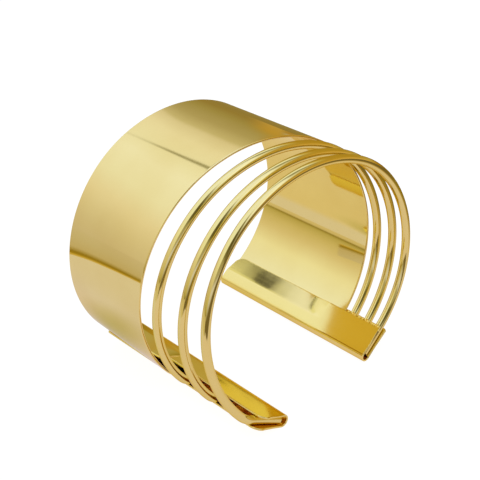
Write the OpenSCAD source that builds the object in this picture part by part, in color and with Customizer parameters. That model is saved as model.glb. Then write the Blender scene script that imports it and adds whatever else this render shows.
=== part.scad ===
// Upper arm cuff in polished gold-coloured brass. A broad band and three round wires run round the arm
// side by side. The band's near edge slants, so the wires fan out from it on the left and close up on
// the right. A folded channel clamps the ends of all four on each side of the gap.
// The cuff lies on its two folds: the arm's way is along Y, X runs across the gap, and Z is up.

/* [Hoop] */
// Radius of the wires' centreline over the top
top_r = 47; // [44:1:54]
// Angle that the top radius covers on each side
top_turn = 23; // [16:1:26]
// Radius of the wires' centreline at the sides
side_r = 39; // [36:1:42]
// Angle that the side radius covers on the left
left_side_turn = 112; // [106:1:116]
// Radius of the short bend into the left channel
left_bend_r = 4; // [3:0.5:10]
// How much larger the left side's radius is along the near edge, where the wires run
near_bulge = 0.7; // [0.5:0.1:1]
// How much less angle that radius covers, so that the last bend is longer there
near_turn_less = 6; // [5:1:8]
// Slope of the left channel from the level
left_tilt = 22; // [18:1:26]
// Angle that the side radius covers on the right
right_side_turn = 51; // [42:1:58]
// Slope of the right channel from the level
right_tilt = 37; // [33:1:41]
// How far inside a channel's mouth the band and wires run straight before they bend away
mouth_bend = 0.5; // [0:0.1:0.5]

/* [Band] */
// Thickness of the band
band_t = 0.7; // [0.5:0.1:1]
// Near edge of the band at its left end, from the cuff's near end
band_left = 35.2; // [33:0.2:39]
// Near edge of the band over the top
band_top = 31.2; // [29:0.2:34]
// Near edge of the band at its right end
band_right = 19.5; // [19:0.1:21]
// Slant of the near edge over the top, from the top to a side
band_lean = -10.9; // [-12:0.1:-9]
// Room between the band and the outer leg of a channel
band_gap = 0.3; // [0.2:0.1:0.6]

/* [Wires] */
// Diameter of each wire
wire_d = 2.7; // [2.4:0.1:3]
// Centre of wire 1 at its left end, from the cuff's near end
wire_1_left = 30.1; // [28:0.1:31]
// Centre of wire 1 over the top
wire_1_top = 25.2; // [24:0.1:26.5]
// Centre of wire 1 at its right end
wire_1_right = 15.5; // [15:0.1:16.2]
// Slant of wire 1 over the top
wire_1_lean = -8.5; // [-9.5:0.1:-7.5]
// Centre of wire 2 at its left end
wire_2_left = 17.7; // [16:0.1:20]
// Centre of wire 2 over the top
wire_2_top = 16.7; // [16:0.1:18]
// Centre of wire 2 at its right end
wire_2_right = 10; // [9.5:0.1:11]
// Slant of wire 2 over the top
wire_2_lean = -4.3; // [-5.3:0.1:-3.3]
// Centre of wire 3 over the top
wire_3_top = 10.6; // [9.8:0.1:11.8]
// Slant of wire 3 over the top
wire_3_lean = -2.2; // [-3:0.1:-1]
// Room between wire 3 and the near end of each channel
wire_3_inset = 0.3; // [0.1:0.1:1]

/* [Channels] */
// Length of the cuff along the arm, which is the left channel's
cuff_len = 70.2; // [67:0.2:75]
// How far the right channel's near end stands back from the left one's
right_setback = 4; // [2.5:0.1:4.5]
// Thickness of a channel's wall
wall_t = 0.6; // [0.5:0.1:0.8]
// Room between a wire and each wall
wire_gap = 0.1; // [0.05:0.05:0.2]
// Depth of the inner legs, from the fold's centre to the mouth
inner_leg = 9.5; // [8:0.5:11]
// Depth of the left channel's outer leg
left_outer_leg = 10.7; // [9:0.1:12]
// Depth of the right channel's outer leg
right_outer_leg = 11; // [9:0.5:12]
// Where the inner legs are creased, so that they come down onto the band, from the fold's centre
crease = 3; // [2:0.5:5]
// Length over which they come down, from the band's near edge
press_run = 5; // [3:0.5:8]
// How much deeper the pressed legs are
press_extra = 0.4; // [0:0.1:0.6]
// Radius of the left channel's corners at its near end
left_corner_r = 3.5; // [0.5:0.1:4]
// Radius of the right channel's corners at its near end
right_corner_r = 1.2; // [0.5:0.1:4]
// Radius of the left channel's corners at its far end
left_far_corner_r = 1; // [0.5:0.1:4]
// Radius of the right channel's corners at its far end
right_far_corner_r = 3.5; // [0.5:0.1:4]
// Room between the ends of the band and wires and the fold's centre
end_gap = 0.3; // [0.1:0.1:1]

/* [Hidden] */
gold = [0.86, 0.72, 0.38];
wire_gold = [0.82, 0.68, 0.36];
channel_gold = [0.88, 0.76, 0.36];
// Most length and most turn from one station of the band and wires to the next
station_len = 2.2;
station_turn = 6;
// Sides of a wire's rings
wire_sides = 12;
// Steps round a channel's fold, round each of its corners and along its pressed stretch
fold_steps = 12;
corner_steps = 5;
press_steps = 6;
straight_run = inner_leg - mouth_bend;
slot = wire_d + 2 * wire_gap;
fold_r = slot / 2 + wall_t;

// A side is a list of arcs from the top down, each a radius and an angle, and then a straight run.
// Headings start level at the top and turn down: a channel of slope t is reached at 180 - t.
function heading(arcs, n) = n == 0 ? 0 : heading(arcs, n - 1) + arcs[n - 1][1];
function arc_step(r, from, to) = r * [sin(to) - sin(from), cos(to) - cos(from)];
function joint(arcs, n) = n == 0 ? [0, 0] :
    joint(arcs, n - 1) + arc_step(arcs[n - 1][0], heading(arcs, n - 1), heading(arcs, n));
function arcs_len(arcs, n) = n == 0 ? 0 :
    arcs_len(arcs, n - 1) + arcs[n - 1][0] * arcs[n - 1][1] * PI / 180;
// How far a side reaches out: to where its heading is straight down
function reach(arcs, n) = n == 0 ? 0 :
    let (from = min(heading(arcs, n - 1), 90), to = min(heading(arcs, n), 90))
    reach(arcs, n - 1) + arc_step(arcs[n - 1][0], from, to)[0];

left_arcs = [
    [top_r, top_turn],
    [side_r, left_side_turn],
    [left_bend_r, 180 - left_tilt - top_turn - left_side_turn]
];
left_drop = -joint(left_arcs, 3)[1] + straight_run * sin(left_tilt);
// The right side's lower radius is the one that brings both folds to the same level
upper_right = [[top_r, top_turn], [side_r, right_side_turn]];
right_turned = top_turn + right_side_turn;
right_bend_r = (left_drop + joint(upper_right, 2)[1] - straight_run * sin(right_tilt))
    / (cos(right_turned) - cos(180 - right_tilt));
right_arcs = concat(upper_right, [[right_bend_r, 180 - right_tilt - right_turned]]);

// Along the near edge the left side's last radius is the one that leads into the same channel
left_fold = joint(left_arcs, 3) - straight_run * [cos(left_tilt), sin(left_tilt)];
near_side_turn = left_side_turn - near_turn_less;
upper_near = [[top_r, top_turn], [side_r + near_bulge, near_side_turn]];
near_bend_turn = 180 - left_tilt - top_turn - near_side_turn;
near_bend_r = (left_fold - joint(upper_near, 2)) * [sin(left_tilt), -cos(left_tilt)]
    / (1 - cos(near_bend_turn));
near_arcs = concat(upper_near, [[near_bend_r, near_bend_turn]]);
near_run = norm(left_fold - joint(near_arcs, 3));

// Place of the path's top point, so that the cuff is centred and stands on its folds
top_x = (reach(near_arcs, 3) - reach(right_arcs, 3)) / 2;
top_z = left_drop + fold_r;

// Stations of one side from the top: place, heading and length run so far. The left side's two
// profiles have as many stations each, so that the band can be ruled between them.
function steps(arcs, n) = let (radius = arcs[n][0], turn = arcs[n][1])
    ceil(max(turn / station_turn, radius * turn * PI / 180 / station_len));
left_steps = [for (n = [0:2]) max(steps(left_arcs, n), steps(near_arcs, n))];
right_steps = [for (n = [0:2]) steps(right_arcs, n)];
function arc_stations(arcs, n, count) =
    let (a = heading(arcs, n), b = heading(arcs, n + 1), run = arcs[n][0] * (b - a) * PI / 180)
    [for (i = [1:count]) let (h = a + (b - a) * i / count)
        concat(joint(arcs, n) + arc_step(arcs[n][0], a, h),
            [h, arcs_len(arcs, n) + run * i / count])];
function straight_stations(arcs, run) =
    let (h = heading(arcs, 3), p = joint(arcs, 3))
    [for (part = [0.5, 1])
        concat(p + run * part * [cos(h), -sin(h)], [h, arcs_len(arcs, 3) + run * part])];
function side_stations(arcs, counts, run) = concat(
    [for (n = [0:2]) each arc_stations(arcs, n, counts[n])],
    straight_stations(arcs, run - end_gap));

// Stations of a whole path, left end first: x, z, heading and share of the side's length, -1 to 1
function side_len(side) = side[len(side) - 1][3];
function whole_path(left, right) = concat(
    [for (i = [len(left) - 1:-1:0]) let (p = left[i])
        [top_x - p[0], top_z + p[1], -p[2], -p[3] / side_len(left)]],
    [[top_x, top_z, 0, 0]],
    [for (p = right)
        [top_x + p[0], top_z + p[1], p[2], p[3] / side_len(right)]]);
near_side = side_stations(near_arcs, left_steps, near_run);
far_side = side_stations(left_arcs, left_steps, straight_run);
right_side = side_stations(right_arcs, right_steps, straight_run);
near_path = whole_path(near_side, right_side);
far_path = whole_path(far_side, right_side);

// Distance from the near end, at share s of the path, of a line: its places at the left end, over the
// top and at the right end, and its slant over the top, give the rest
function fan(line, s) =
    let (left = line[0], top = line[1], right = line[2], lean = line[3],
        bow = (left + right) / 2 - top, kick = (right - left) / 2 - lean)
    top + lean * s + bow * s * s + kick * s * s * s;
function fan_slope(line, s) =
    let (left = line[0], top = line[1], right = line[2], lean = line[3],
        bow = (left + right) / 2 - top, kick = (right - left) / 2 - lean)
    lean + 2 * bow * s + 3 * kick * s * s;

band_line = [band_left, band_top, band_right, band_lean];
wire_lines = [
    [wire_1_left, wire_1_top, wire_1_right, wire_1_lean],
    [wire_2_left, wire_2_top, wire_2_right, wire_2_lean],
    [wire_d / 2 + wire_3_inset, wire_3_top, right_setback + wire_d / 2 + wire_3_inset, wire_3_lean]
];

function place(station, out, y) =
    [station[0] + out * sin(station[2]), y - cuff_len / 2, station[1] + out * cos(station[2])];

// Faces of a sweep: rings of the same number of points, and flat ends
function side_faces(rings, sides) = concat(
    [for (i = [0:rings - 2], k = [0:sides - 1])
        [i * sides + k, (i + 1) * sides + k, i * sides + (k + 1) % sides]],
    [for (i = [0:rings - 2], k = [0:sides - 1])
        [(i + 1) * sides + k, (i + 1) * sides + (k + 1) % sides, i * sides + (k + 1) % sides]]);
function end_faces(rings, sides) = [
    [for (k = [0:sides - 1]) k],
    [for (k = [sides - 1:-1:0]) (rings - 1) * sides + k]];
// Ends of a folded strip, in squares from one side of its wall to the other
function strip_end_faces(rings, sides) = concat(
    [for (k = [0:sides / 2 - 2]) [k, k + 1, sides - 2 - k, sides - 1 - k]],
    [for (k = [0:sides / 2 - 2]) let (last = (rings - 1) * sides)
        [last + sides - 1 - k, last + sides - 2 - k, last + k + 1, last + k]]);

module band() {
    outer = slot / 2 - band_gap;
    inner = outer - band_t;
    points = [for (i = [0:len(near_path) - 1])
        let (p = near_path[i], q = far_path[i], near = fan(band_line, p[3]))
        each [place(p, outer, near), place(q, outer, cuff_len),
            place(q, inner, cuff_len), place(p, inner, near)]];
    count = len(near_path);
    color(gold) polyhedron(points, concat(side_faces(count, 4), end_faces(count, 4)));
}

module wire(line) {
    r = wire_d / 2;
    points = [for (p = near_path)
        let (side = side_len(p[3] < 0 ? near_side : right_side),
            along = [cos(p[2]), fan_slope(line, p[3]) / side, -sin(p[2])],
            out = [sin(p[2]), 0, cos(p[2])],
            across = cross(along / norm(along), out),
            centre = place(p, 0, fan(line, p[3])))
        each [for (k = [0:wire_sides - 1]) let (a = 360 * k / wire_sides)
            centre + r * (cos(a) * out + sin(a) * across)]];
    count = len(near_path);
    color(wire_gold) polyhedron(points, concat(side_faces(count, wire_sides), end_faces(count, wire_sides)));
}

module wire_1() {
    wire(wire_lines[0]);
}

module wire_2() {
    wire(wire_lines[1]);
}

module wire_3() {
    wire(wire_lines[2]);
}

// How far the pressed legs come down at the mouth: to the band, with the wires' clearance
press_depth = slot - band_gap - band_t - wire_gap;
pressed_leg = inner_leg - crease + press_extra;
press_angle = asin(press_depth / pressed_leg);

// Section of the folded sheet: along a leg from the fold's centre, and out from the slot's middle, where
// the outer leg lies below. The cut shortens both legs at a corner, and pressed runs from 0 to 1.
function section(outer_leg, cut, pressed) =
    let (a = pressed * press_angle, leg = inner_leg - crease + pressed * press_extra - cut,
        mouth = [crease + leg * cos(a), fold_r - leg * sin(a)])
    concat(
        [mouth - wall_t * [sin(a), cos(a)], [crease - wall_t * tan(a / 2), slot / 2]],
        [for (i = [0:fold_steps]) let (t = 90 + 180 * i / fold_steps) slot / 2 * [cos(t), sin(t)]],
        [[outer_leg - cut, -slot / 2], [outer_leg - cut, -fold_r]],
        [for (i = [fold_steps:-1:0]) let (t = 90 + 180 * i / fold_steps) fold_r * [cos(t), sin(t)]],
        [[crease, fold_r], mouth]);

// Rows along a channel: distance from its near end, cut of the legs there and share of the pressing
function channel_rows(length, near_r, far_r, band_edge) = concat(
    [for (i = [0:corner_steps]) let (a = 90 * i / corner_steps)
        [near_r * (1 - cos(a)), near_r * (1 - sin(a)), 0]],
    [for (i = [0:press_steps]) let (part = i / press_steps)
        [band_edge + press_run * part, 0, (1 - cos(180 * part)) / 2]],
    [for (i = [corner_steps:-1:0]) let (a = 90 * i / corner_steps)
        [length - far_r * (1 - cos(a)), far_r * (1 - sin(a)), 1]]);

// Folded channel along Y with its fold's centre on the axis and its mouth towards +X
module folded_channel(length, outer_leg, near_r, far_r, band_edge) {
    rows = channel_rows(length, near_r, far_r, band_edge);
    points = [for (row = rows) each [for (p = section(outer_leg, row[1], row[2])) [p[0], row[0], p[1]]]];
    sides = len(points) / len(rows);
    polyhedron(points, concat(side_faces(len(rows), sides), strip_end_faces(len(rows), sides)));
}

module left_channel() {
    color(channel_gold)
        translate([top_x - left_fold[0], -cuff_len / 2, fold_r])
            mirror([1, 0, 0]) rotate([0, -left_tilt, 0])
                folded_channel(cuff_len, left_outer_leg, left_corner_r, left_far_corner_r, band_left);
}

module right_channel() {
    color(channel_gold)
        translate([top_x + joint(right_arcs, 3)[0] - straight_run * cos(right_tilt),
            right_setback - cuff_len / 2, fold_r])
            rotate([0, -right_tilt, 0])
                folded_channel(cuff_len - right_setback, right_outer_leg, right_corner_r, right_far_corner_r,
                    band_right - right_setback);
}

band();
wire_1();
wire_2();
wire_3();
left_channel();
right_channel();
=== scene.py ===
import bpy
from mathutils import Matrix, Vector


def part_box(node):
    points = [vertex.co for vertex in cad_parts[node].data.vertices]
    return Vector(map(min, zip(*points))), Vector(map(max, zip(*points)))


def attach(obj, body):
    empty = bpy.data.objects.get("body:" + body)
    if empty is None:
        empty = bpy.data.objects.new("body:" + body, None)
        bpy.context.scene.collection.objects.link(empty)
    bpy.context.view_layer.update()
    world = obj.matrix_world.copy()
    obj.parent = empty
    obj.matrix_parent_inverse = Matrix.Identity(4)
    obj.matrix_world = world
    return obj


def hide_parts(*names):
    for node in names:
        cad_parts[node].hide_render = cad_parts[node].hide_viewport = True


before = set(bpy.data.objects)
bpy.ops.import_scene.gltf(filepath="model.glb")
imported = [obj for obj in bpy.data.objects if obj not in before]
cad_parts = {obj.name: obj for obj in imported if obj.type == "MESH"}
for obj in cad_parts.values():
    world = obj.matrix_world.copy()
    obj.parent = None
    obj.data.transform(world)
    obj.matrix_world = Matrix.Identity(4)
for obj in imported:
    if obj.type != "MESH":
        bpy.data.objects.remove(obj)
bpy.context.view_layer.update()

# %% [markdown]
# An upper arm cuff in polished metal. A broad band wraps the arm, three round wires run beside it, and
# a folded channel clamps all their ends on each side of the gap. The CAD model holds these pieces as
# plain solids with facets along the curves. Mirror metal shows every facet, so this lesson builds each
# piece again from the same few sizes, much finer and with rounded edges, then gives it its finish, its
# light and its camera. Lengths are in metres, so the sizes below are written in millimetres times MM.

# %% Helpers and sizes
import math

import bmesh
import bpy
import numpy as np
from mathutils import Matrix, Vector

MM = 0.001
TOP_R = 47 * MM
TOP_TURN = 23
SIDE_R = 39 * MM
LEFT_SIDE_TURN = 112
LEFT_BEND_R = 4 * MM
LEFT_TILT = 22
NEAR_SIDE_R = 39.7 * MM
NEAR_SIDE_TURN = 106
RIGHT_SIDE_TURN = 51
RIGHT_TILT = 37
WIRE_D = 2.7 * MM
WIRE_GAP = 0.1 * MM
BAND_T = 0.7 * MM
BAND_GAP = 0.3 * MM
WALL_T = 0.6 * MM
INNER_LEG = 9.5 * MM
LEFT_OUTER_LEG = 10.7 * MM
RIGHT_OUTER_LEG = 11 * MM
MOUTH_BEND = 0.5 * MM
END_GAP = 0.3 * MM
CUFF_LEN = 70.2 * MM
RIGHT_SETBACK = 4 * MM
CREASE = 3 * MM
PRESS_START = 6.2 * MM
PRESS_RUN = 9 * MM
PRESS_EXTRA = 0.4 * MM
LEFT_CORNER_R = 3.5 * MM
RIGHT_CORNER_R = 1.2 * MM
LEFT_FAR_CORNER_R = 1 * MM
RIGHT_FAR_CORNER_R = 3.5 * MM
SLOT = WIRE_D + 2 * WIRE_GAP
FOLD_R = SLOT / 2 + WALL_T
STRAIGHT_RUN = INNER_LEG - MOUTH_BEND
NEAR_Y = -CUFF_LEN / 2
FAR_Y = CUFF_LEN / 2

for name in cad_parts:
    low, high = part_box(name)
    print(f"{name}: {(high - low) * 1000} mm")

# %% [markdown]
# The camera comes first, because every later choice is judged through it. Its place was found by
# turning a model of the cuff until its edges fell on the photo's: it looks down at about 30 degrees
# from the wires' side, and stands only a third of a metre away, which is why the near wires look so
# much larger than the band's far edge. A longer lens from further off would flatten that.

# %% Camera
CAMERA_AZIMUTH = -43.31
CAMERA_ELEVATION = 29.56
CAMERA_ROLL = -0.68
CAMERA_DISTANCE = 331.72 * MM
CAMERA_ASIDE = -3.45 * MM
CAMERA_RAISED = 35.14 * MM
LENS_MM = 76.2


def make_camera():
    azimuth, elevation, roll = (math.radians(a) for a in (CAMERA_AZIMUTH, CAMERA_ELEVATION, CAMERA_ROLL))
    back = Vector((math.sin(azimuth) * math.cos(elevation), -math.cos(azimuth) * math.cos(elevation),
                   math.sin(elevation)))
    level = Vector((math.cos(azimuth), math.sin(azimuth), 0))
    upward = back.cross(level)
    right = level * math.cos(roll) + upward * math.sin(roll)
    up = upward * math.cos(roll) - level * math.sin(roll)
    data = bpy.data.cameras.new("camera")
    data.lens = LENS_MM
    data.sensor_width = 36
    data.clip_start = 0.01
    camera = bpy.data.objects.new("camera", data)
    place = back * CAMERA_DISTANCE + right * CAMERA_ASIDE + up * CAMERA_RAISED
    camera.matrix_world = Matrix.Translation(place) @ Matrix((right, up, back)).transposed().to_4x4()
    bpy.context.scene.collection.objects.link(camera)
    bpy.context.scene.camera = camera
    return camera


camera = make_camera()
print("camera at", [round(v * 1000, 1) for v in camera.matrix_world.translation], "mm")

# %% [markdown]
# Band and wires bend along one path, seen along the arm: a flat arc over the top, rounder sides, a
# short bend, and a straight run inside each channel. The path could be drawn by hand as a curve, but
# arcs joined end to end, each a radius and an angle, keep the curvature even, and even curvature is
# what makes a reflection look clean. The right side's last radius is worked out so that both channels
# touch the floor.

# %% The path that the band and wires share
STATION_LEN = 0.6 * MM
STATION_TURN = 3
STRAIGHT_STEPS = 15


def arc_end(arcs):
    """How far arcs laid end to end reach sideways and up, and the heading they end with."""
    heading, x, z = 0, 0, 0
    for radius, turn in arcs:
        a, b = math.radians(heading), math.radians(heading + turn)
        x += radius * (math.sin(b) - math.sin(a))
        z += radius * (math.cos(b) - math.cos(a))
        heading += turn
    return x, z, heading


def reach(arcs):
    """How far a side stands out, which is where it heads straight down."""
    heading, x = 0, 0
    for radius, turn in arcs:
        a, b = math.radians(min(heading, 90)), math.radians(min(heading + turn, 90))
        x += radius * (math.sin(b) - math.sin(a))
        heading += turn
    return x


def steps(*sides):
    """Steps of each arc, enough for the longest of the sides that are to match."""
    return [max(math.ceil(max(turn / STATION_TURN, radius * math.radians(turn) / STATION_LEN))
                for radius, turn in arcs) for arcs in zip(*sides)]


def side_stations(arcs, counts, straight):
    """Sideways, up, heading and length run so far, from the top down, along arcs and the straight run."""
    stations, run = [], 0
    for n, (radius, turn) in enumerate(arcs):
        x, z, heading = arc_end(arcs[:n])
        length = radius * math.radians(turn)
        for i in range(1, counts[n] + 1):
            a, b = math.radians(heading), math.radians(heading + turn * i / counts[n])
            stations.append((x + radius * (math.sin(b) - math.sin(a)),
                             z + radius * (math.cos(b) - math.cos(a)), b, run + length * i / counts[n]))
        run += length
    x, z, heading = arc_end(arcs)
    h = math.radians(heading)
    for i in range(1, STRAIGHT_STEPS + 1):
        step = (straight - END_GAP) * i / STRAIGHT_STEPS
        stations.append((x + step * math.cos(h), z - step * math.sin(h), h, run + step))
    return np.array(stations)


def whole_path(left, right):
    """Stations from the left end over the top to the right end: x, z, heading and share, -1 to 1."""
    sign = np.array([-1, 1, -1, -1])
    both = [side / np.array([1, 1, 1, side[-1, 3]]) for side in (left, right)]
    path = np.concatenate([both[0][::-1] * sign, np.zeros((1, 4)), both[1]])
    return path + np.array([top_x, top_z, 0, 0])


left_arcs = [(TOP_R, TOP_TURN), (SIDE_R, LEFT_SIDE_TURN),
             (LEFT_BEND_R, 180 - LEFT_TILT - TOP_TURN - LEFT_SIDE_TURN)]
left_drop = -arc_end(left_arcs)[1] + STRAIGHT_RUN * math.sin(math.radians(LEFT_TILT))
upper_right = [(TOP_R, TOP_TURN), (SIDE_R, RIGHT_SIDE_TURN)]
right_turned = TOP_TURN + RIGHT_SIDE_TURN
right_bend_r = ((left_drop + arc_end(upper_right)[1] - STRAIGHT_RUN * math.sin(math.radians(RIGHT_TILT)))
                / (math.cos(math.radians(right_turned)) - math.cos(math.radians(180 - RIGHT_TILT))))
right_arcs = upper_right + [(right_bend_r, 180 - RIGHT_TILT - right_turned)]


def fold_place(arcs, tilt):
    """Sideways and up, from the top, of a fold's centre."""
    x, z, _ = arc_end(arcs)
    return (x - STRAIGHT_RUN * math.cos(math.radians(tilt)), z - STRAIGHT_RUN * math.sin(math.radians(tilt)))


left_fold, right_fold = fold_place(left_arcs, LEFT_TILT), fold_place(right_arcs, RIGHT_TILT)
upper_near = [(TOP_R, TOP_TURN), (NEAR_SIDE_R, NEAR_SIDE_TURN)]
near_x, near_z, near_turned = arc_end(upper_near)
near_bend_turn = 180 - LEFT_TILT - near_turned
near_bend_r = (((left_fold[0] - near_x) * math.sin(math.radians(LEFT_TILT))
                - (left_fold[1] - near_z) * math.cos(math.radians(LEFT_TILT)))
               / (1 - math.cos(math.radians(near_bend_turn))))
near_arcs = upper_near + [(near_bend_r, near_bend_turn)]
near_run = math.dist(left_fold, arc_end(near_arcs)[:2])

top_x = (reach(near_arcs) - reach(right_arcs)) / 2
top_z = left_drop + FOLD_R
left_counts = steps(left_arcs, near_arcs)
right_side = side_stations(right_arcs, steps(right_arcs), STRAIGHT_RUN)
near_path = whole_path(side_stations(near_arcs, left_counts, near_run), right_side)
far_path = whole_path(side_stations(left_arcs, left_counts, STRAIGHT_RUN), right_side)
print(f"path: {len(near_path)} stations; last radii {near_bend_r * 1000:.1f} mm on the left along the near "
      f"edge and {right_bend_r * 1000:.1f} mm on the right")

# %% [markdown]
# The wires are drawn round wire, bent over the same former and fanned out sideways. What tells them
# apart is only how far along the arm each one runs at its left end, over the top and at its right end.
# That is a rule with a few numbers, so one Geometry Nodes tree makes all three: it shifts the path by
# that rule and sweeps a circle along it. Sweeping a circle along three curves drawn by hand would do
# too, but then a change to the hoop would have to be drawn three times.

# %% A small wrapper, so that sums of sockets read as Python
class Socket:
    """One output in a node tree. Sums with numbers or other sockets add Math nodes."""

    def __init__(self, tree, out=None):
        self.tree = tree
        self.out = out

    def node(self, kind, settings=None, inputs=None, output=0):
        """Adds a node: first its settings, then its sockets' values or links, by name or number."""
        made = self.tree.nodes.new(kind)
        for name, value in (settings or {}).items():
            if name == "stops":
                set_stops(made.color_ramp, value)
            else:
                setattr(made, name, value)
        for key, value in (inputs or {}).items():
            if isinstance(value, Socket):
                self.tree.links.new(value.out, made.inputs[key])
            else:
                made.inputs[key].default_value = value
        return Socket(self.tree, made.outputs[output])

    def math(self, operation, *values):
        return self.node("ShaderNodeMath", {"operation": operation}, dict(enumerate((self, *values))))

    def __add__(self, other):
        return self.math("ADD", other)

    def __radd__(self, other):
        return self.math("ADD", other)

    def __sub__(self, other):
        return self.math("SUBTRACT", other)

    def __rsub__(self, other):
        return self.node("ShaderNodeMath", {"operation": "SUBTRACT"}, {0: other, 1: self})

    def __mul__(self, other):
        return self.math("MULTIPLY", other)

    def __rmul__(self, other):
        return self.math("MULTIPLY", other)

    def __truediv__(self, other):
        return self.math("DIVIDE", other)

    def smooth(self, low, high):
        """0 below low, 1 above high, and a soft step between."""
        return self.node("ShaderNodeMapRange", {"interpolation_type": "SMOOTHSTEP"},
                         {"Value": self, "From Min": low, "From Max": high})

    def into(self, kind):
        """Ends the tree: adds its output node and links this socket to it."""
        end = self.tree.nodes.new(kind)
        self.tree.links.new(self.out, end.inputs[0])


def set_stops(ramp, stops):
    """Gives a colour ramp its stops: a list of place and colour."""
    while len(ramp.elements) > 1:
        ramp.elements.remove(ramp.elements[-1])
    ramp.elements[0].position, ramp.elements[0].color = stops[0][0], (*stops[0][1], 1)
    for place, colour in stops[1:]:
        ramp.elements.new(place).color = (*colour, 1)


def empty_tree(block):
    """Clears the node tree of a material or world, and gives the start of expressions in it."""
    block.use_nodes = True
    block.node_tree.nodes.clear()
    return Socket(block.node_tree)


# %% The wires' Geometry Nodes tree
WIRE_SIDES = 28
WIRE_INPUTS = ["Left", "Top", "Right", "Lean", "Near", "Diameter"]


def make_wire_tree():
    tree = bpy.data.node_groups.new("fanned_wire", "GeometryNodeTree")
    face = tree.interface
    face.new_socket(name="Geometry", in_out="INPUT", socket_type="NodeSocketGeometry")
    for name in WIRE_INPUTS:
        face.new_socket(name=name, in_out="INPUT", socket_type="NodeSocketFloat")
    face.new_socket(name="Sides", in_out="INPUT", socket_type="NodeSocketInt")
    face.new_socket(name="Material", in_out="INPUT", socket_type="NodeSocketMaterial")
    face.new_socket(name="Geometry", in_out="OUTPUT", socket_type="NodeSocketGeometry")
    given = tree.nodes.new("NodeGroupInput")
    start = Socket(tree)
    value = {out.name: Socket(tree, out) for out in given.outputs if out.name}
    share = start.node("GeometryNodeInputNamedAttribute", {"data_type": "FLOAT"}, {"Name": "share"})
    bow = (value["Left"] + value["Right"]) * 0.5 - value["Top"]
    kick = (value["Right"] - value["Left"]) * 0.5 - value["Lean"]
    along = value["Top"] + share * (value["Lean"] + share * (bow + share * kick)) + value["Near"]
    shift = start.node("ShaderNodeCombineXYZ", None, {"Y": along})
    moved = start.node("GeometryNodeSetPosition", None, {"Geometry": value["Geometry"], "Offset": shift})
    line = start.node("GeometryNodeMeshToCurve", None, {"Mesh": moved})
    ring = start.node("GeometryNodeCurvePrimitiveCircle", None,
                      {"Resolution": value["Sides"], "Radius": value["Diameter"] * 0.5})
    swept = start.node("GeometryNodeCurveToMesh", None,
                       {"Curve": line, "Profile Curve": ring, "Fill Caps": True})
    smooth = start.node("GeometryNodeSetShadeSmooth", None, {"Geometry": swept})
    real = start.node("GeometryNodeRealizeInstances", None, {"Geometry": smooth})
    coated = start.node("GeometryNodeSetMaterial", None, {"Geometry": real, "Material": value["Material"]})
    coated.into("NodeGroupOutput")
    return tree


def path_object(name):
    """The near edge's path as a line of vertices that know their share of the way, from -1 to 1."""
    mesh = bpy.data.meshes.new(name)
    mesh.from_pydata([(x, 0, z) for x, z, _, _ in near_path],
                     [(i, i + 1) for i in range(len(near_path) - 1)], [])
    mesh.attributes.new("share", "FLOAT", "POINT").data.foreach_set("value", near_path[:, 3].copy())
    made = bpy.data.objects.new(name, mesh)
    bpy.context.scene.collection.objects.link(made)
    return made


def baked(obj):
    """Turns what the modifiers make into the object's own plain mesh, and removes them."""
    depsgraph = bpy.context.evaluated_depsgraph_get()
    mesh = bpy.data.meshes.new_from_object(obj.evaluated_get(depsgraph))
    obj.modifiers.clear()
    obj.data = mesh
    return obj


wire_tree = make_wire_tree()
print("wire tree:", len(wire_tree.nodes), "nodes")

# %% [markdown]
# The metal is mirror-polished and gold-coloured. Nearly all that one sees on it is the room, so the
# colour is only a tint on reflections: light once reflected is pale gold, and light that bounced twice
# or more inside the hoop is deep amber, without any second colour. The Specular Tint says how much
# paler the metal turns where one looks along it. What keeps it from looking like computer chrome is
# small: the rolled sheet is never quite flat, so reflections swim a little, and buffing leaves faint
# lines and a slight haze that changes from place to place. An image of scratches would do the same, but
# sums of noise on the piece's own coordinates, in metres, keep their real scale on every piece.

# %% Polished gold
GOLD = (0.85, 0.69, 0.17)
WIRE_GOLD = (0.825, 0.69, 0.163)
CHANNEL_GOLD = (0.863, 0.69, 0.142)
HAZED = (0.97, 0.95, 0.9)
HAZE_SCALE = 60
BUFFING_SCALE = 900
BUFFING_DEPTH = 0.0006 * MM


def mixed(start, factor, first, second, blend="MIX"):
    """A colour between two, or one times the other, which may be sockets or values."""
    return start.node("ShaderNodeMix", {"data_type": "RGBA", "blend_type": blend},
                      {"Factor": factor, 6: first, 7: second}, 2)


def polished(name, colour, edge, rough, wave_height, wave_size, stretch):
    """Metal with haze, buffing lines along the stretch and a slight wave of the sheet."""
    material = bpy.data.materials.new(name)
    start = empty_tree(material)
    where = start.node("ShaderNodeTexCoord", None, None, "Object")
    lines_at = start.node("ShaderNodeVectorMath", {"operation": "MULTIPLY"}, {0: where, 1: stretch})
    haze = start.node("ShaderNodeTexNoise", None, {"Vector": where, "Scale": HAZE_SCALE, "Detail": 4})
    lines = start.node("ShaderNodeTexNoise", None,
                       {"Vector": lines_at, "Scale": BUFFING_SCALE, "Detail": 3})
    wave = start.node("ShaderNodeTexNoise", None, {"Vector": where, "Scale": 1 / wave_size, "Detail": 1})
    tone = haze.smooth(0.3, 0.7)
    deep = tuple(c * f for c, f in zip(colour, HAZED))
    tint = mixed(start, tone, (*deep, 1), (*colour, 1))
    roughness = rough * (0.7 + tone * 0.6) + lines * rough * 0.4
    scratches = start.node("ShaderNodeBump", None,
                           {"Strength": 1, "Distance": BUFFING_DEPTH, "Height": lines})
    swim = start.node("ShaderNodeBump", None,
                      {"Strength": 1, "Distance": wave_height, "Height": wave, "Normal": scratches})
    metal = start.node("ShaderNodeBsdfPrincipled", None,
                       {"Base Color": tint, "Metallic": 1, "Specular Tint": edge,
                        "Roughness": roughness, "Normal": swim})
    metal.into("ShaderNodeOutputMaterial")
    return material


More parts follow.
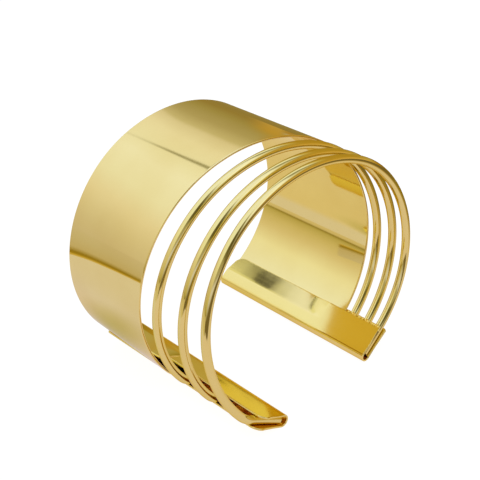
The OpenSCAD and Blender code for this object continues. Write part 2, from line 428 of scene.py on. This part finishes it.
band_gold = polished("band_gold", GOLD, edge=(0.97, 0.93, 0.82, 1), rough=0.05, wave_height=0.03 * MM,
                     wave_size=30 * MM, stretch=(1, 0.03, 1))
wire_gold = polished("wire_gold", WIRE_GOLD, edge=(0.88, 0.74, 0.36, 1), rough=0.08, wave_height=0.01 * MM,
                     wave_size=10 * MM, stretch=(1, 1, 1))
channel_gold = polished("channel_gold", CHANNEL_GOLD, edge=(0.9, 0.78, 0.45, 1), rough=0.07,
                        wave_height=0.03 * MM, wave_size=12 * MM, stretch=(1, 0.05, 1))
print("finishes:", [m.name for m in bpy.data.materials])

# %% [markdown]
# Now the three wires. Each gets the path, the tree and its own four numbers: how far from the cuff's
# near end its centre runs at the left end, over the top and at the right end, and its slant over the
# top. The third wire stays inside the channels' near ends, so its end values follow from them.

# %% Wires
WIRE_3_INSET = 0.3 * MM
WIRES = {
    "wire_1": {"Left": 30.1 * MM, "Top": 25.2 * MM, "Right": 15.5 * MM, "Lean": -8.5 * MM},
    "wire_2": {"Left": 17.7 * MM, "Top": 16.7 * MM, "Right": 10 * MM, "Lean": -4.3 * MM},
    "wire_3": {"Left": WIRE_D / 2 + WIRE_3_INSET, "Top": 10.6 * MM,
               "Right": RIGHT_SETBACK + WIRE_D / 2 + WIRE_3_INSET, "Lean": -2.2 * MM},
}


def make_wire(name, line):
    made = path_object("round_" + name)
    modifier = made.modifiers.new("sweep", "NODES")
    modifier.node_group = wire_tree
    given = {**line, "Near": NEAR_Y, "Diameter": WIRE_D, "Sides": WIRE_SIDES, "Material": wire_gold}
    for item in wire_tree.interface.items_tree:
        if item.in_out == "INPUT" and item.name in given:
            modifier[item.identifier] = given[item.name]
    baked(made)
    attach(made, "root")
    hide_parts(name)
    print(f"{made.name}: {len(made.data.polygons)} faces")
    return made


wires = [make_wire(name, line) for name, line in WIRES.items()]
print("wires:", sum(len(wire.data.polygons) for wire in wires), "faces in all")

# %% [markdown]
# The band is sheet metal: 0.7 mm thick, as wide as the cuff at its far side, and cut on a slant along
# its near side. A flat plane with a Solidify modifier could be bent round the path, but its slanted
# edge would then be jagged or its quads uneven. Here every station of the path gets one closed ring
# of points round the sheet's section instead, so the edge follows the slant exactly. The ring has
# rounded corners, because a polished edge catches the light as a thin line, and a close pair of points
# beside each corner, so that the roundness doesn't smear into the flat faces' reflections.

# %% Band
BAND_LINE = {"Left": 35.2 * MM, "Top": 31.2 * MM, "Right": 19.5 * MM, "Lean": -10.9 * MM}
BAND_OUT = SLOT / 2 - BAND_GAP
BAND_EDGE_R = 0.22 * MM
EDGE_STEPS = 4
FACE_STEPS = 6


def fan(line, share):
    """Distance from the cuff's near end at a share of the way, the rule that the wires' tree has too."""
    bow = (line["Left"] + line["Right"]) / 2 - line["Top"]
    kick = (line["Right"] - line["Left"]) / 2 - line["Lean"]
    return line["Top"] + share * (line["Lean"] + share * (bow + share * kick))


def sheet_section(width, thick, corner):
    """Points round a flat bar with round corners: along its width from 0, and out from its middle."""
    points = []
    half = thick / 2
    support = 2 * corner
    spread = np.linspace(support, width - support, FACE_STEPS)
    for along, out, turn in ((corner, half - corner, 90), (width - corner, half - corner, 0),
                             (width - corner, corner - half, -90), (corner, corner - half, -180)):
        for i in range(EDGE_STEPS + 1):
            a = math.radians(turn + 90 - 90 * i / EDGE_STEPS)
            points.append((along + corner * math.cos(a), out + corner * math.sin(a)))
        if turn == 90:
            points += [(v, half) for v in spread]
        if turn == -90:
            points += [(v, -half) for v in spread[::-1]]
    return points


def make_band():
    """Rings ruled from the near edge, on the near path, to the far edge, on the far one."""
    rings = []
    middle = BAND_OUT - BAND_T / 2
    near_edge = fan(BAND_LINE, near_path[:, 3]) + NEAR_Y
    for near, far, y in zip(near_path, far_path, near_edge):
        width = FAR_Y - y
        for along, out in sheet_section(width, BAND_T, BAND_EDGE_R):
            x, z, turn, _ = near + (far - near) * along / width
            up = middle + out
            rings.append((x + up * math.sin(turn), y + along, z + up * math.cos(turn)))
    return add_mesh("sheet_band", rings, ring_faces(len(rings) // len(near_path), len(near_path)), band_gold)


def ring_faces(sides, count):
    """Faces of a tube of rings with as many points each, closed at both ends."""
    faces = []
    for i in range(count - 1):
        for k in range(sides):
            m = (k + 1) % sides
            faces.append((i * sides + k, i * sides + m, (i + 1) * sides + m, (i + 1) * sides + k))
    faces.append(tuple(range(sides))[::-1])
    faces.append(tuple((count - 1) * sides + k for k in range(sides)))
    return faces


def add_mesh(name, points, faces, material):
    """A smooth-shaded mesh object whose faces point outwards."""
    mesh = bpy.data.meshes.new(name)
    mesh.from_pydata(points, [], faces)
    shape = bmesh.new()
    shape.from_mesh(mesh)
    bmesh.ops.recalc_face_normals(shape, faces=shape.faces)
    for face in shape.faces:
        face.smooth = True
    shape.to_mesh(mesh)
    shape.free()
    mesh.materials.append(material)
    made = bpy.data.objects.new(name, mesh)
    bpy.context.scene.collection.objects.link(made)
    return made


band = make_band()
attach(band, "root")
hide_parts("band")
print(f"{band.name}: {len(band.data.polygons)} faces")

# %% [markdown]
# A channel is one strip of thinner sheet folded in two round the wires' thickness, with its corners
# rounded off at the mouth. Next to the wires its legs stay flat. Over the band, which is thinner than
# the wires, the inner leg is pressed down until its mouth lies on the band, and that leaves a crease
# along it. The leg goes down steeply just beyond the last wire and then eases off, by a cube rule, and
# the slow end of that slope is what draws out its reflections. A bent plane with Solidify and Bevel
# gets into trouble where corner, crease and rim meet, so the channel too is made of closed rings: one
# section of the folded strip for each row along it. A row knows how much of the legs the corner cuts
# off, how far the leg is pressed, and near an end how much of the wall the rounded rim takes away.

# %% Rows along a channel
CREASE_HALF = 0.15 * MM
PRESS_STEPS = 24
FLAT_ROWS = 12
CORNER_ROWS = 9
RIM_R = 0.2 * MM
RIM_STEPS = 4


def end_rows(corner):
    """Distances from an end, and what the rounded rim takes off there, up to the end of the corner."""
    rows = []
    for i in range(1, RIM_STEPS + 1):
        a = math.radians(90 * i / RIM_STEPS)
        rows.append((RIM_R * (1 - math.cos(a)), RIM_R * (1 - math.sin(a))))
    first = math.acos(1 - RIM_R / corner)
    for i in range(1, CORNER_ROWS + 1):
        a = first + (math.pi / 2 - first) * i / CORNER_ROWS
        rows.append((corner * (1 - math.cos(a)), 0))
    return rows


def channel_rows(length, near_r, far_r, band_edge):
    """Rows along a channel: place, share of the pressing, what the rim takes, and the mouth's outline."""
    start, stop = band_edge + PRESS_START, band_edge + PRESS_START + PRESS_RUN
    places = end_rows(near_r)
    places += [(near_r + (start - near_r) * i / FLAT_ROWS, 0) for i in range(1, FLAT_ROWS)]
    places.append((start - 2 * CREASE_HALF, 0))
    places += [(start + PRESS_RUN * i / PRESS_STEPS, 0) for i in range(PRESS_STEPS + 1)]
    places += [(stop + (length - far_r - stop) * i / FLAT_ROWS, 0) for i in range(1, FLAT_ROWS)]
    places += [(length - y, rim) for y, rim in reversed(end_rows(far_r))]
    rows = []
    for y, rim in places:
        part = min(max((y - start) / PRESS_RUN, 0), 1)
        cut, turn, facing = 0, math.pi / 2, 0
        for gap, corner, sign in ((y, near_r, -1), (length - y, far_r, 1)):
            if gap < corner:
                turn = math.acos(1 - gap / corner)
                cut, facing = corner * (1 - math.sin(turn)), sign * math.cos(turn)
        rows.append((y, 1 - (1 - part) ** 3, rim, cut, math.sin(turn), facing))
    return rows


print("rows at a corner of the left channel's near end:", len(end_rows(LEFT_CORNER_R)))

# %% Section of the folded strip
LEG_STEPS = 6
CREASE_STEPS = 4
FOLD_STEPS = 32
MOUTH_TURNS = [(90 - 90 * i / RIM_STEPS, 1) for i in range(RIM_STEPS + 1)] + [
    (-90 * i / RIM_STEPS, -1) for i in range(RIM_STEPS + 1)]
PRESS_DEPTH = SLOT - BAND_GAP - BAND_T - WIRE_GAP


def leg(run, ahead, aside):
    """Along a leg from its mouth to near its start: distance out, and shift along the channel."""
    first, shift = run - 2 * RIM_R * ahead, -2 * RIM_R * aside
    inward = [(first * (1 - i / LEG_STEPS), shift * (1 - i / LEG_STEPS)) for i in range(LEG_STEPS)]
    return [(run, 0)] + inward


def strip_middle(outer_leg, pressed, cut, ahead, aside):
    """The wall's middle from the inner mouth to the outer one: along, out, heading and shift."""
    r = SLOT / 2 + WALL_T / 2
    inner = INNER_LEG - CREASE + pressed * PRESS_EXTRA
    bend = pressed * math.asin(PRESS_DEPTH / inner)
    line = []
    for run, shift in leg(inner - cut - CREASE_HALF, ahead, aside):
        run += CREASE_HALF
        line.append((CREASE + run * math.cos(bend), r - run * math.sin(bend), math.pi - bend, shift))
    for i in range(CREASE_STEPS + 1):
        t = i / CREASE_STEPS
        before, after = CREASE_HALF * (1 - t) ** 2, CREASE_HALF * t ** 2
        line.append((CREASE + before * math.cos(bend) - after, r - before * math.sin(bend),
                     math.pi - bend * (1 - t), 0))
    line.append((CREASE / 2, r, math.pi, 0))
    for i in range(FOLD_STEPS + 1):
        a = math.pi / 2 + math.pi * i / FOLD_STEPS
        line.append((r * math.cos(a), r * math.sin(a), a + math.pi / 2, 0))
    line += [(run, -r, math.tau, shift) for run, shift in leg(outer_leg - cut, ahead, aside)[::-1]]
    return line


def strip_ring(line, rim, ahead, aside):
    """Points round the strip: one face of the wall, a round mouth, the other face, a round mouth."""
    half, corner = WALL_T / 2 - rim, RIM_R - rim
    ring = []
    for side, order in ((-1, line), (1, line[::-1])):
        for x, z, h, shift in order[1:-1]:
            ring.append((x - side * half * math.sin(h), shift, z + side * half * math.cos(h)))
        x, z, h, _ = order[-1]
        for turn, face in MOUTH_TURNS:
            a = math.radians(turn)
            out = side * (face * (half - corner) + corner * math.sin(a))
            on = corner * (math.cos(a) - 1) - rim
            forth = -side * on * ahead
            ring.append((x + forth * math.cos(h) - out * math.sin(h), on * aside,
                         z + forth * math.sin(h) + out * math.cos(h)))
    return ring


print(f"inner legs: their mouths are pressed down by {PRESS_DEPTH * 1000:.1f} mm")

# %% Channels
def make_channel(name, side, tilt, fold, outer_leg, setback, near_r, far_r, band_edge):
    """side is 1 on the right and -1 on the left, where the mouth points the other way."""
    points = []
    t = math.radians(tilt)
    fold_x = top_x + side * fold[0]
    rows = channel_rows(CUFF_LEN - setback, near_r, far_r, band_edge - setback)
    for y, pressed, rim, cut, ahead, aside in rows:
        middle = strip_middle(outer_leg, pressed, cut, ahead, aside)
        for along, shift, out in strip_ring(middle, rim, ahead, aside):
            points.append((fold_x + side * (along * math.cos(t) - out * math.sin(t)),
                           NEAR_Y + setback + y + shift, FOLD_R + along * math.sin(t) + out * math.cos(t)))
    return add_mesh(name, points, ring_faces(len(points) // len(rows), len(rows)), channel_gold)


channels = [
    make_channel("folded_left_channel", -1, LEFT_TILT, left_fold, LEFT_OUTER_LEG, 0, LEFT_CORNER_R,
                 LEFT_FAR_CORNER_R, BAND_LINE["Left"]),
    make_channel("folded_right_channel", 1, RIGHT_TILT, right_fold, RIGHT_OUTER_LEG, RIGHT_SETBACK,
                 RIGHT_CORNER_R, RIGHT_FAR_CORNER_R, BAND_LINE["Right"]),
]
for channel, node in zip(channels, ("left_channel", "right_channel")):
    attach(channel, "root")
    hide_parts(node)
    print(f"{channel.name}: {len(channel.data.polygons)} faces")

# %% [markdown]
# Where the wires enter the right channel, the photo shows the solder that holds them: small bright
# lumps along the mouth, run together like drops. Rows of single balls would look like beads. So each
# lump starts as a stretched ball, a Remesh modifier then merges the balls into one skin, and a Smooth
# modifier softens the grooves between them, much as surface tension does to melted metal.

# %% Solder at the right channel's mouth
LUMPS = [(17.6, 0.5, 0.35), (15.3, 1.1, 0.7), (13.1, 0.7, 0.55), (11.8, 0.5, 0.35), (9.8, 1.1, 0.7),
         (7.8, 0.7, 0.5), (6.9, 0.4, 0.35), (5.6, 1.0, 0.65)]
LUMP_ALONG = 0.55 * MM
LUMP_BEYOND = 0.25 * MM
LUMP_ABOVE = 0.3 * MM
LUMP_GRAIN = 0.06 * MM
solder_gold = polished("solder_gold", (0.95, 0.71, 0.1), edge=(0.9, 0.7, 0.3, 1), rough=0.1,
                       wave_height=0.02 * MM, wave_size=2 * MM, stretch=(1, 1, 1))


def make_solder():
    """Balls from a list of places from the cuff's near end, half lengths and thicknesses, merged."""
    t = math.radians(RIGHT_TILT)
    along, out = INNER_LEG + LUMP_BEYOND, SLOT / 2 + LUMP_ABOVE
    x = top_x + right_fold[0] + along * math.cos(t) - out * math.sin(t)
    z = FOLD_R + along * math.sin(t) + out * math.cos(t)
    balls = bmesh.new()
    for place, half, thick in LUMPS:
        turned = (Matrix.Translation((x, NEAR_Y + place * MM, z)) @ Matrix.Rotation(-t, 4, "Y")
                  @ Matrix.Diagonal((LUMP_ALONG, half * MM, thick * MM, 1)))
        bmesh.ops.create_icosphere(balls, subdivisions=4, radius=1, matrix=turned)
    mesh = bpy.data.meshes.new("solder")
    balls.to_mesh(mesh)
    balls.free()
    mesh.materials.append(solder_gold)
    made = bpy.data.objects.new("solder", mesh)
    bpy.context.scene.collection.objects.link(made)
    merge = made.modifiers.new("merge", "REMESH")
    merge.mode = "VOXEL"
    merge.voxel_size = LUMP_GRAIN
    soften = made.modifiers.new("soften", "SMOOTH")
    soften.factor = 0.5
    soften.iterations = 6
    baked(made)
    made.data.polygons.foreach_set("use_smooth", [True] * len(made.data.polygons))
    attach(made, "root")
    print(f"{made.name}: {len(made.data.polygons)} faces")
    return made


solder = make_solder()

# %% [markdown]
# The floor is a plain pale sheet that the cuff lies on. In the photo it is so bright that it looks
# white and only a trace of shadow is left, while the metal still mirrors the real, shaded floor. One
# plain material can't be both, so the floor shows the camera mostly its own even white, and shows
# everything else a sheet of paper that glows with painted light and shade: brighter and cooler on the
# left, painted shade that is warmer on the right and dark in front, and a painted shadow in the dim
# corner under the hoop, because a mirror shows every change of light on it.

# %% Floor's painted light and shade
# Painted light and shade on the floor, as mirrors see it: brighter, cooler light on the left and near side,
# painted shade to the front right, to the right and in front, and a painted shadow round the dim corner under
# the hoop.
LEFT_TONE = (0.86, 0.84, 1.50, 1)
MIDDLE_TONE = (0.89, 0.81, 1.00, 1)
NEAR_TONE = (0.90, 0.80, 1.35, 1)
PAINTED_SHADOW_TONE = (0.64, 0.61, 0.50, 1)
FRONT_PAINTED_SHADE = (0.22, 0.17, 0.13, 1)
RIGHT_PAINTED_SHADE = (0.34, 0.26, 0.08, 1)
WARM_PAINTED_SHADE = (0.55, 0.40, 0.25, 1)
LEFT_ZONE = (-0.06, -0.03)
NEAR_ZONE = (-0.01, 0.02)
WARM_SHADE_ZONE = (0.06, 0.10)
RIGHT_SHADE_ZONE = (0.09, 0.15)
FRONT_SHADE_ZONE = (0.125, 0.131)
PAINTED_SHADOW_CENTRE = (-0.038, 0.036, 0)
PAINTED_SHADOW_REACH = 0.028


def painted_floor_light(start, where):
    """Painted light and shade on the paper from place to place, as the metal mirrors it."""
    x, y = (start.node("ShaderNodeSeparateXYZ", None, {0: where}, axis) for axis in "XY")
    forward = y * -1
    corner = start.node("ShaderNodeVectorMath", {"operation": "DISTANCE"}, {0: where, 1: PAINTED_SHADOW_CENTRE}, "Value")
    tone = mixed(start, x.smooth(*LEFT_ZONE), LEFT_TONE, MIDDLE_TONE)
    # painted shadow: darker round the dim corner under the hoop, where the cuff shades the floor
    tone = mixed(start, corner.smooth(0, PAINTED_SHADOW_REACH), PAINTED_SHADOW_TONE, tone)
    tone = mixed(start, y.smooth(*NEAR_ZONE), NEAR_TONE, tone)
    # painted shade, darker and warmer, to the front right
    tone = mixed(start, x.smooth(*WARM_SHADE_ZONE) * forward.smooth(*WARM_SHADE_ZONE), tone, WARM_PAINTED_SHADE)
    # painted shade further to the right
    tone = mixed(start, x.smooth(*RIGHT_SHADE_ZONE), tone, RIGHT_PAINTED_SHADE)
    # painted shade in front
    return mixed(start, forward.smooth(*FRONT_SHADE_ZONE), tone, FRONT_PAINTED_SHADE)


# %% Floor
FLOOR_SIZE = ((-1.5, -0.9), (1.5, 2.0))
SHEET_LEFT = -0.17
PAPER_TONE = (0.95, 0.9, 0.5, 1)
PAPER_SHARE = 0.25
FLOOR_SEEN = (0.9, 0.95, 0.51, 1)
FLOOR_WHITE = 1.1
SHADOW_SHARE = 0.14


def make_floor():
    """A glowing white that the camera sees, with some shadow; mirrors see the paper glow with painted light
    and shade.
    """
    (left, front), (right, back) = FLOOR_SIZE
    corners = [(left, front, 0), (right, front, 0), (right, back, 0), (left, back, 0)]
    material = bpy.data.materials.new("floor_white")
    start = empty_tree(material)
    where = start.node("ShaderNodeTexCoord", None, None, "Object")
    sheet = painted_floor_light(start, where)
    # Mirrors see the floor mostly glow with its painted light and shade, and only a quarter of it lit by the
    # studio.
    bright = start.node("ShaderNodeEmission", None, {"Color": sheet, "Strength": 1})
    shaded = start.node("ShaderNodeBsdfDiffuse", None,
                        {"Color": mixed(start, 1, sheet, PAPER_TONE, "MULTIPLY")})
    paper = start.node("ShaderNodeMixShader", None, {0: PAPER_SHARE, 1: bright, 2: shaded})
    open_air = start.node("ShaderNodeBsdfTransparent")
    past = start.node("ShaderNodeSeparateXYZ", None, {0: where}, "X").math("LESS_THAN", SHEET_LEFT)
    mirrored = start.node("ShaderNodeMixShader", None, {0: past, 1: paper, 2: open_air})
    plain = start.node("ShaderNodeBsdfDiffuse", None, {"Color": FLOOR_SEEN})
    even = start.node("ShaderNodeEmission", None, {"Color": (1, 1, 1, 1), "Strength": FLOOR_WHITE})
    clean = start.node("ShaderNodeMixShader", None, {0: SHADOW_SHARE, 1: even, 2: plain})
    seen = start.node("ShaderNodeLightPath", None, None, "Is Camera Ray")
    start.node("ShaderNodeMixShader", None, {0: seen, 1: mirrored, 2: clean}).into("ShaderNodeOutputMaterial")
    floor = add_mesh("floor", corners, [(0, 1, 2, 3)], material)
    return floor


floor = make_floor()
print("floor:", [round(v, 3) for v in floor.dimensions], "m")

# %% [markdown]
# A thin brown line runs slantwise across the outside of the band. It is no seam in the metal but the
# lower edge of something pale that stands beside the cuff. Photographers place cards for just that, to
# draw a crisp line along a curved mirror. Painting the line on the band would be wrong from any other
# side. So a real card stands there that glows with painted light, a dark foot under a pale face, and
# only mirrors see it.

# %% Card
CARD_BACK = 0.06
CARD_LEFT = -0.110
CARD_FOOT = 0.0215
CARD_RISE = 0.0867
CARD_HEIGHT = 0.024
CARD_CORNERS = [(CARD_LEFT, CARD_FOOT), (-0.050, 0.0267), (-0.050, 0.043), (CARD_LEFT, 0.048)]
CARD_PAINTED_TONES = [
    (0, (0.74, 0.60, 0.46)),
    (0.04, (0.64, 0.47, 0.13)),
    (0.075, (0.40, 0.28, 0.05)),
    (0.13, (0.34, 0.24, 0.04)),
    (0.18, (0.46, 0.37, 0.22)),
    (0.28, (0.62, 0.55, 0.66)),
    (0.6, (0.65, 0.60, 0.84)),
    (1, (0.69, 0.64, 0.98)),
]


def make_card():
    """The upright card behind the cuff's left side, glowing with painted light toned by the height above its
    slanted foot.
    """
    material = bpy.data.materials.new("card_painted_glow")
    start = empty_tree(material)
    where = start.node("ShaderNodeTexCoord", None, None, "Object")
    x, z = (start.node("ShaderNodeSeparateXYZ", None, {0: where}, axis) for axis in "XZ")
    height = (z - (x - CARD_LEFT) * CARD_RISE - CARD_FOOT) / CARD_HEIGHT
    tone = start.node("ShaderNodeValToRGB", {"stops": CARD_PAINTED_TONES}, {0: height})
    # the card glows in these painted tones instead of being lit
    start.node("ShaderNodeEmission", None, {"Color": tone, "Strength": 1}).into("ShaderNodeOutputMaterial")
    card = add_mesh("card", [(a, CARD_BACK, b) for a, b in CARD_CORNERS], [(0, 1, 2, 3)], material)
    card.visible_camera = False
    card.visible_shadow = False
    return card


card = make_card()
print("card:", [round(v, 3) for v in card.dimensions], "m")

# %% [markdown]
# Polished metal is lit by what stands round it. Along the arm the cuff is a mirror bent one way, so
# what each stripe of it shows depends mostly on one angle: how far round the hoop one looks, from
# straight up, 0, to level on the right, 90, or on the left, -90. The studio is therefore written as
# lists of angles and tones. One is for what stands beyond the cuff: a large soft light overhead, a pale
# wall falling off to the left and a darker, warmer side on the right. The next is for what stands
# beside it, which the inside and the legs mirror. The last is for the camera's side, which is mostly
# dark. Only the round wires mirror that, and it is what draws the dark streaks on them. Real lamps and
# walls would do the same, but each would have to be moved many times until its mirror image fell right.

# %% Studio tones
LIGHT = 1.7
BEYOND = [
    (-180, (0.62, 0.59, 0.80)),
    (-104, (0.68, 0.63, 0.98)),
    (-96, (0.71, 0.66, 1.02)),
    (-88, (0.74, 0.70, 1.10)),
    (-77, (0.80, 0.77, 1.24)),
    (-60, (0.91, 0.90, 1.58)),
    (-38, (0.98, 1.06, 2.09)),
    (-10, (1.02, 1.12, 2.33)),
    (6, (0.97, 1.04, 1.95)),
    (26, (0.95, 0.98, 1.75)),
    (40, (0.81, 0.80, 1.25)),
    (43.5, (0.66, 0.64, 0.80)),
    (56, (0.50, 0.46, 0.44)),
    (74, (0.40, 0.35, 0.19)),
    (86, (0.34, 0.26, 0.09)),
    (130, (0.28, 0.20, 0.06)),
    (180, (0.62, 0.59, 0.80)),
]
BESIDE = [
    (-180, (0.72, 0.65, 0.70)),
    (-98, (0.75, 0.67, 0.80)),
    (-93.7, (0.72, 0.64, 0.72)),
    (-92.9, (0.30, 0.24, 0.06)),
    (-92.1, (0.30, 0.24, 0.06)),
    (-91.2, (0.56, 0.50, 0.36)),
    (-83, (0.70, 0.63, 0.64)),
    (-72, (0.80, 0.74, 0.97)),
    (-54, (0.98, 1.03, 1.70)),
    (-30, (1.00, 1.10, 2.20)),
    (5, (1.06, 1.18, 2.90)),
    (36, (1.05, 1.15, 2.40)),
    (44, (0.70, 0.58, 0.40)),
    (52, (0.52, 0.35, 0.10)),
    (72, (0.52, 0.35, 0.10)),
    (80, (0.55, 0.44, 0.28)),
    (84, (0.58, 0.53, 0.50)),
    (86, (0.54, 0.44, 0.30)),
    (88, (0.47, 0.29, 0.06)),
    (110, (0.42, 0.27, 0.08)),
    (180, (0.62, 0.55, 0.50)),
]
TOWARDS = [
    (-180, (0.30, 0.24, 0.20)),
    (-100, (0.20, 0.15, 0.10)),
    (-94, (0.47, 0.43, 0.55)),
    (-84, (0.72, 0.72, 1.60)),
    (-76, (0.80, 0.82, 1.90)),
    (-67, (0.48, 0.45, 0.60)),
    (-52, (0.45, 0.42, 0.48)),
    (-45, (0.18, 0.16, 0.10)),
    (-30, (0.11, 0.09, 0.04)),
    (-18, (0.30, 0.28, 0.28)),
    (-8, (1.00, 1.08, 2.20)),
    (20, (1.20, 1.32, 3.00)),
    (32, (0.90, 0.90, 1.50)),
    (44, (0.55, 0.42, 0.25)),
    (64, (0.56, 0.36, 0.08)),
    (90, (0.80, 0.56, 0.34)),
    (110, (0.50, 0.32, 0.12)),
    (180, (0.30, 0.24, 0.20)),
]
print("studio:", len(BEYOND), len(BESIDE), len(TOWARDS), "tones")

# %% [markdown]
# Some marks are too small for those lists. A faint dark seam in the light overhead draws the long line
# over the band's top, narrow at the back and wider towards the near side. A slight haze and a few dark
# clouds, of something that hung above the cuff, show in the right channel's inner leg, and an amber
# glow shows low on the right. Each is a share from 0 to 1, made of soft steps in the angle round the
# hoop and in y, how far along the arm one looks, and then one tone multiplied in by that share. A
# little noise on the share keeps the edges from looking drawn.

# %% Seam, haze and clouds
SEAM_TONE = (0.36, 0.34, 0.22, 1)
SEAM_ANGLE = 9.4
SEAM_BACK = 0.74
SEAM_LEAN = 24
SEAM_HALF = 0.8
SEAM_SPREAD = 12
SEAM_SOFT = (0.5, 1.2)
SEAM_FADE = (0.69, 0.738)
SEAM_LOSS = 0.8
HAZE_TONE = (0.86, 0.83, 0.50, 1)
HAZE_ANGLE = 3
HAZE_SIDES = (6, 9)
HAZE_START = (0.580, 0.592)
HAZE_END = (0.635, 0.65)
HAZE_RIPPLE = 0.02
CLOUD_TONE = (0.02, 0.015, 0.003, 1)
CLOUD_SOFT = (0.5, 1.25)
CLOUDS = [
    (6.0, 1.0, 0.632, 0.010, 1),
    (4.8, 2.2, 0.602, 0.014, 1),
    (5.9, 0.9, 0.594, 0.009, 0.8),
    (4.9, 2.2, 0.567, 0.004, 0.25),
]


def seam_share(angle, y):
    """The seam turns further round and widens as it comes nearer, and nearly fades out at the back."""
    nearer = (SEAM_BACK - y).math("MAXIMUM", 0)
    aside = (angle - (SEAM_ANGLE + nearer * SEAM_LEAN)).math("ABSOLUTE")
    across = aside / (SEAM_HALF + nearer * SEAM_SPREAD)
    return (1 - across.smooth(*SEAM_SOFT)) * (1 - y.smooth(*SEAM_FADE) * SEAM_LOSS)


def haze_share(angle, y, ripple):
    overhead = 1 - (angle - HAZE_ANGLE).math("ABSOLUTE").smooth(*HAZE_SIDES)
    return overhead * (y + ripple * HAZE_RIPPLE).smooth(*HAZE_START) * (1 - y.smooth(*HAZE_END))


def cloud_share(angle, y, ripple, cloud):
    """A cloud is an angle, a width in degrees, a place in y, a reach in y and how dark it is."""
    turn, width, place, reach, dark = cloud
    aside, along = (angle - turn) / width, (y - place) / reach
    gap = (aside * aside + along * along).math("SQRT") + ripple
    return (1 - gap.smooth(*CLOUD_SOFT)) * dark


print("clouds:", len(CLOUDS))

# %% Studio
BACK_ZONE = (0.708, 0.732)
BACK_TURN = 8
BEYOND_ZONE = (0.643, 0.653)
RIGHT_SIDE = (62, 80)
RIGHT_SHIFT = 0.012
AMBER_TONE = (0.34, 0.23, 0.06, 1)
AMBER_START = (0.632, 0.640)
AMBER_END = (0.645, 0.668)
LOW_TONE = (0.30, 0.27, 0.20, 1)
LOW_ZONE = (0.86, 0.99)
LOW_SIDES = (-20, -5)
TOWARDS_ZONE = (-0.45, -0.25)
RIPPLE_SCALE = 90
BACKDROP_WHITE = 1.02


def toned(start, angle, tones):
    """A colour ramp round the hoop from a list of angles in degrees and tones."""
    stops = [(a / 360 + 0.5, tuple(c / LIGHT for c in tone)) for a, tone in tones]
    return start.node("ShaderNodeValToRGB", {"stops": stops}, {0: angle / 360 + 0.5})


def make_studio():
    """Mirrors see the toned room, and the camera sees plain white."""
    world = bpy.data.worlds.new("studio")
    bpy.context.scene.world = world
    start = empty_tree(world)
    direction = start.node("ShaderNodeTexCoord", None, None, "Generated")
    x, y, z = (start.node("ShaderNodeSeparateXYZ", None, {0: direction}, axis) for axis in "XYZ")
    ripple = start.node("ShaderNodeTexNoise", None,
                        {"Vector": direction, "Scale": RIPPLE_SCALE, "Detail": 2}) - 0.5
    angle = x.math("ARCTAN2", z) * math.degrees(1)
    beyond = toned(start, angle - y.smooth(*BACK_ZONE) * BACK_TURN, BEYOND)
    beside = toned(start, angle, BESIDE)
    low = (y * -1).smooth(*LOW_ZONE) * angle.smooth(*LOW_SIDES)
    towards = mixed(start, low, toned(start, angle, TOWARDS), LOW_TONE, "MULTIPLY")
    right = angle.smooth(*RIGHT_SIDE)
    tone = mixed(start, (y + right * RIGHT_SHIFT).smooth(*BEYOND_ZONE), beside, beyond)
    tone = mixed(start, right * y.smooth(*AMBER_START) * (1 - y.smooth(*AMBER_END)), tone, AMBER_TONE)
    tone = mixed(start, seam_share(angle, y), tone, SEAM_TONE, "MULTIPLY")
    tone = mixed(start, haze_share(angle, y, ripple), tone, HAZE_TONE, "MULTIPLY")
    for cloud in CLOUDS:
        tone = mixed(start, cloud_share(angle, y, ripple, cloud), tone, CLOUD_TONE, "MULTIPLY")
    tone = mixed(start, y.smooth(*TOWARDS_ZONE), towards, tone)
    room = start.node("ShaderNodeBackground", None, {"Color": tone, "Strength": LIGHT})
    white = start.node("ShaderNodeBackground", None, {"Color": (1, 1, 1, 1), "Strength": BACKDROP_WHITE})
    seen = start.node("ShaderNodeLightPath", None, None, "Is Camera Ray")
    start.node("ShaderNodeMixShader", None, {0: seen, 1: room, 2: white}).into("ShaderNodeOutputWorld")
    return world


GLOSSY_BOUNCES = 10
studio = make_studio()
bpy.context.scene.view_settings.view_transform = "Standard"
bpy.context.scene.cycles.glossy_bounces = GLOSSY_BOUNCES
print("studio:", len(studio.node_tree.nodes), "nodes")
